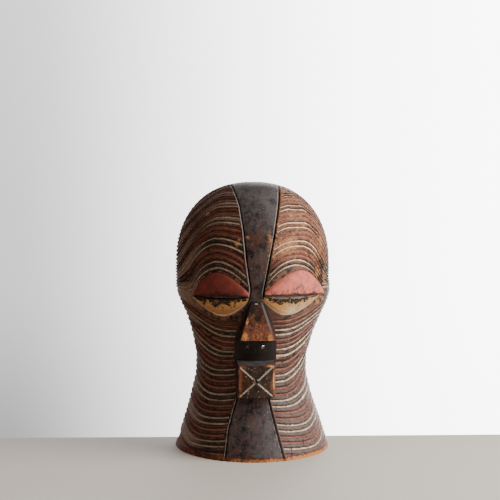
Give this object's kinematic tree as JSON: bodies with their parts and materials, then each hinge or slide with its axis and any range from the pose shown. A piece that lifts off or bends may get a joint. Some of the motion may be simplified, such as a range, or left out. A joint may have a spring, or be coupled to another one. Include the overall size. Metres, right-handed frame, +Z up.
{
  "type": "kifwebe mask",
  "caption": "Carved wooden face mask, hollow and open at the back, with a domed brow, narrow waist and flared foot it stands on.",
  "frame": {"origin": "centre of the box's underside", "axes": "+Z up from the foot to the crown, the face looks along -Y, +X to the viewer's right"},
  "size_m": [0.2136, 0.142, 0.36],
  "materials": {
    "painted_wood": "worn matt paint"
  },
  "bodies": {
    "root": {"carved_mask": "painted_wood"}
  },
  "joints": []
}
